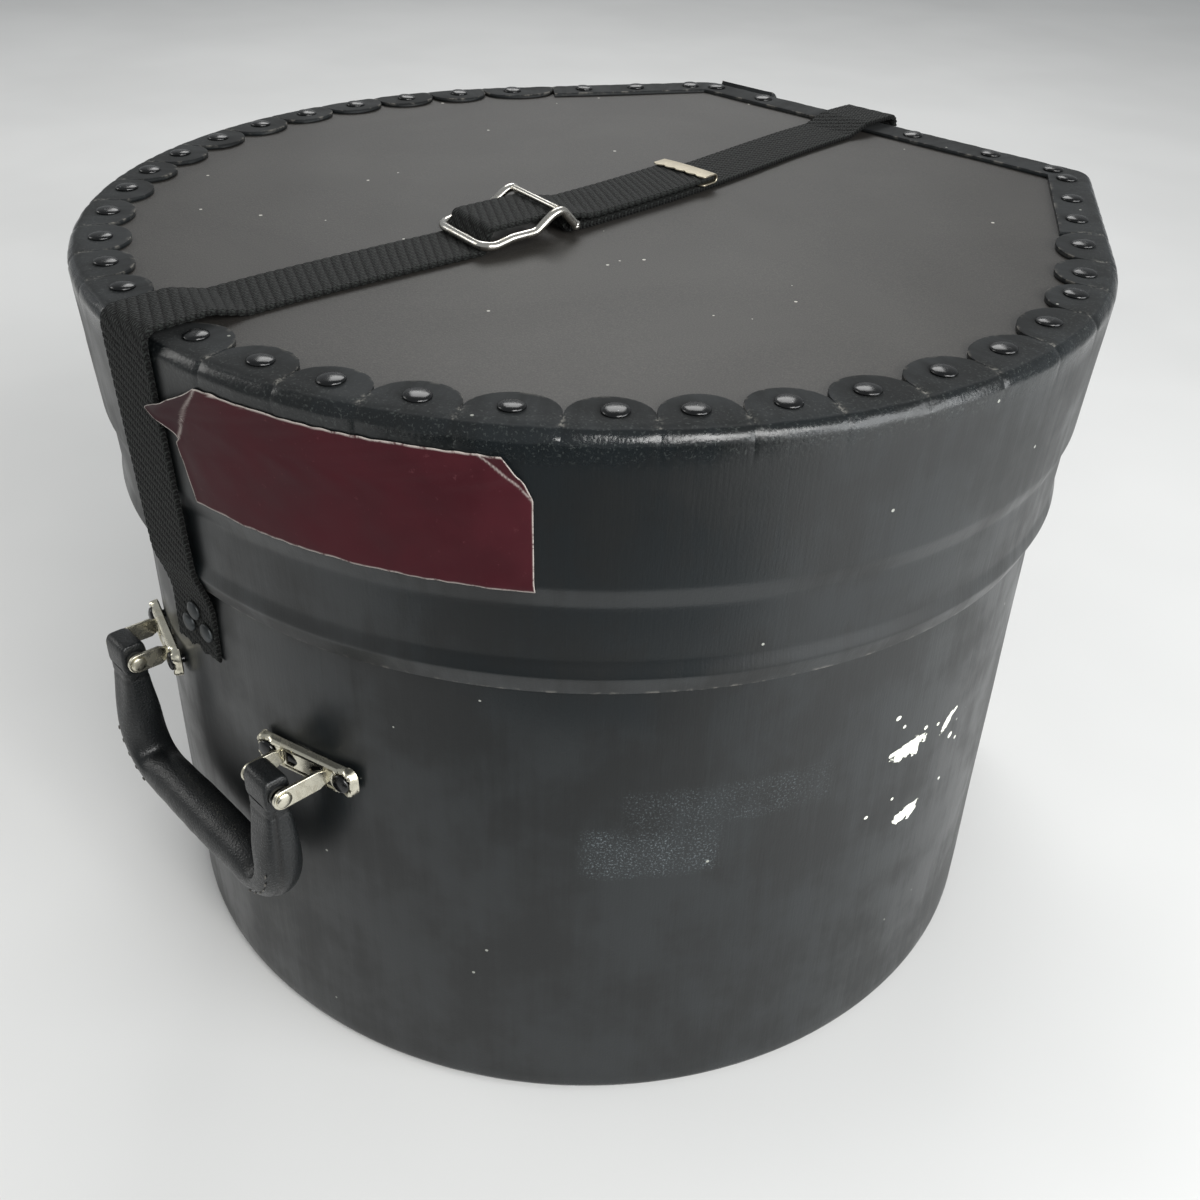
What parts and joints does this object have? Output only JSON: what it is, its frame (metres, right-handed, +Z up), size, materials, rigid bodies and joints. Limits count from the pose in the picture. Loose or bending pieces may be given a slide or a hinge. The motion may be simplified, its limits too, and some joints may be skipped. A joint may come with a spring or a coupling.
{
  "type": "drum case",
  "caption": "Round drum case with one flat side, a lift-off lid, a webbing strap with a wire buckle over the lid and a swinging carrying handle on its wall.",
  "frame": {"origin": "on the floor under the middle of the whole case's plan, with the handle at the front and the flat side at the back", "axes": "+Z up through the lid, +Y towards the flat side, -Y towards the handle, +X to the right seen from the handle"},
  "size_m": [0.3618, 0.3768, 0.2836],
  "materials": {
    "fibre": "black vulcanised fibre, pebbled, satin, scuffed",
    "panel": "black fibre board, dusty, satin",
    "black_rivet": "black enamelled, semi-gloss",
    "strap_rivet": "worn black over grey steel",
    "webbing": "black woven cotton webbing",
    "tip": "nickel, dulled",
    "buckle": "nickel-plated wire",
    "handle_plate": "plated steel, warm, worn",
    "steel": "plain steel",
    "grip": "black stitched leather, worn satin",
    "label": "dark printed paper, bare, scuffed"
  },
  "bodies": {
    "case": {"case_wall": "fibre", "bottom_panel": "panel", "case_seam_rivet_1": "black_rivet", "case_seam_rivet_2": "black_rivet", "case_seam_rivet_3": "black_rivet", "case_seam_rivet_4": "black_rivet", "handle_left_plate": "handle_plate", "handle_left_pin": "handle_plate", "handle_left_rivet_1": "black_rivet", "handle_left_rivet_2": "black_rivet", "handle_left_washer_1": "steel", "handle_left_washer_2": "steel", "handle_right_plate": "handle_plate", "handle_right_pin": "handle_plate", "handle_right_rivet_1": "black_rivet", "handle_right_rivet_2": "black_rivet", "handle_right_washer_1": "steel", "handle_right_washer_2": "steel", "strap_front_rivet_1": "strap_rivet", "strap_front_rivet_2": "strap_rivet", "strap_front_rivet_3": "strap_rivet", "strap_front_washer_1": "steel", "strap_front_washer_2": "steel", "strap_front_washer_3": "steel", "strap_rear_rivet_1": "strap_rivet", "strap_rear_rivet_2": "strap_rivet", "strap_rear_rivet_3": "strap_rivet", "strap_rear_washer_1": "steel", "strap_rear_washer_2": "steel", "strap_rear_washer_3": "steel", "strap_front_drop": "webbing", "strap_rear_drop": "webbing"},
    "lid": {"lid_wall": "fibre", "lid_panel": "panel", "lid_label": "label", "lid_seam_rivet_1": "black_rivet", "lid_seam_rivet_2": "black_rivet", "lid_seam_rivet_3": "black_rivet", "strap_front_top": "webbing", "strap_rear_top": "webbing", "strap_tip": "tip", "buckle_frame": "buckle", "buckle_cross_bar": "buckle"},
    "handle": {"handle_grip": "grip", "handle_left_bush": "steel", "handle_right_bush": "steel"}
  },
  "joints": [
    {"name": "lid_lift", "type": "slide", "parent": "case", "child": "lid", "axis": [0, 0, 1], "range_m": [0, 0.16], "deforming": ["strap_front_drop", "strap_rear_drop"]},
    {"name": "handle_swing", "type": "hinge", "parent": "case", "child": "handle", "pos_m": [-0.00794, -0.17778, 0.1347], "axis": [-0.999, 0.0436, 0], "range_deg": [-2, 165]}
  ]
}
